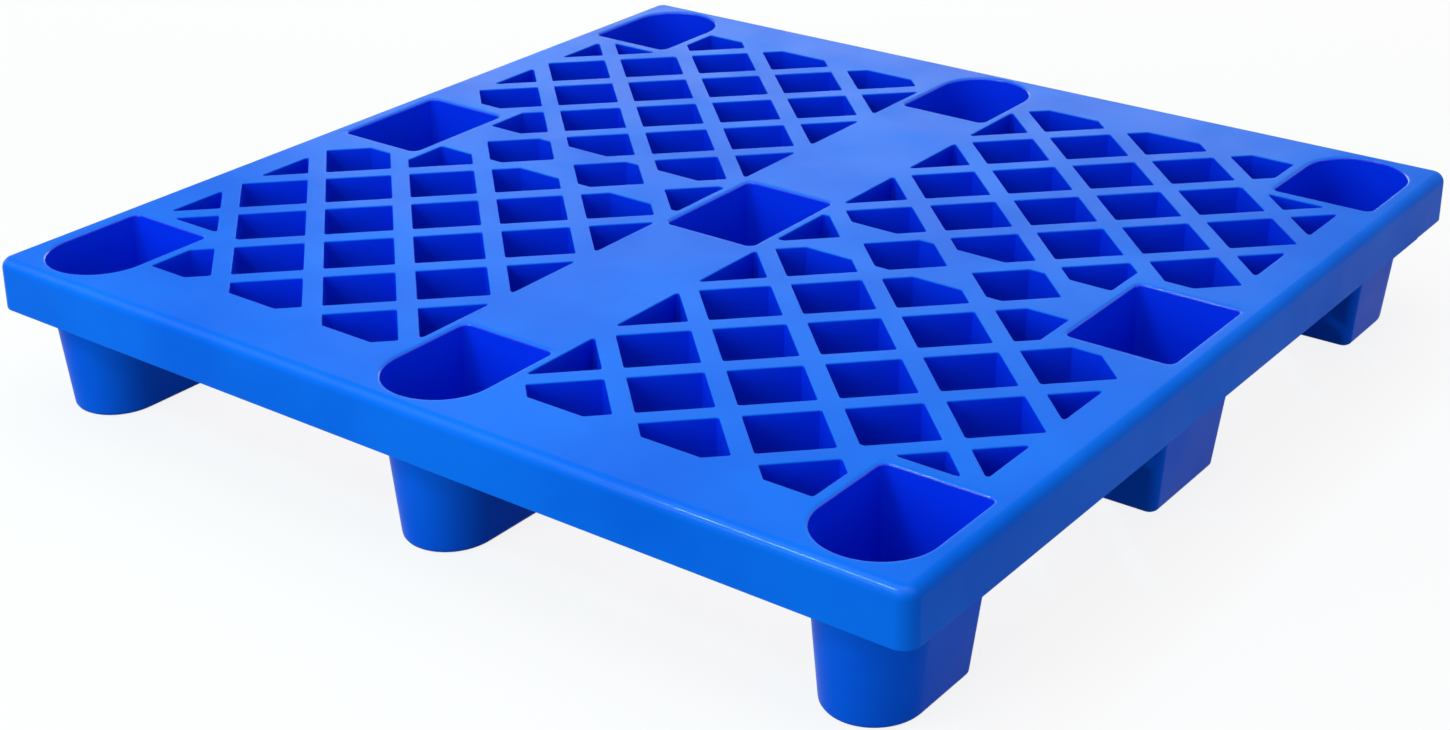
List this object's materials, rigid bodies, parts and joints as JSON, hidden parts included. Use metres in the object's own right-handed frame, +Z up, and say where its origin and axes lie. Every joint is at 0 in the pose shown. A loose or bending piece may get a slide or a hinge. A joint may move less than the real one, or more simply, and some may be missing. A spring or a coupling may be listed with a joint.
{
  "type": "plastic pallet",
  "caption": "Low square nesting pallet in blue moulded plastic: lattice deck with plain rims and spine, a shallow skirt, and tapered hollow legs that open through the deck as cups.",
  "frame": {"origin": "on the floor under the middle of the pallet", "axes": "+Z up, X along the front edge, Y along the spine towards the back"},
  "size_m": [1, 1, 0.15],
  "materials": {
    "blue_plastic": "satin moulded polyethylene"
  },
  "bodies": {
    "root": {"leg_front_left": "blue_plastic", "leg_front_middle": "blue_plastic", "leg_front_right": "blue_plastic", "leg_back_left": "blue_plastic", "leg_back_middle": "blue_plastic", "leg_back_right": "blue_plastic", "leg_middle_left": "blue_plastic", "leg_centre": "blue_plastic", "leg_middle_right": "blue_plastic", "rim_front": "blue_plastic", "rim_right": "blue_plastic", "rim_back": "blue_plastic", "rim_left": "blue_plastic", "spine_front": "blue_plastic", "spine_back": "blue_plastic", "cross_band_left": "blue_plastic", "cross_band_right": "blue_plastic", "lattice_front_left": "blue_plastic", "lattice_front_right": "blue_plastic", "lattice_back_left": "blue_plastic", "lattice_back_right": "blue_plastic"}
  },
  "joints": []
}
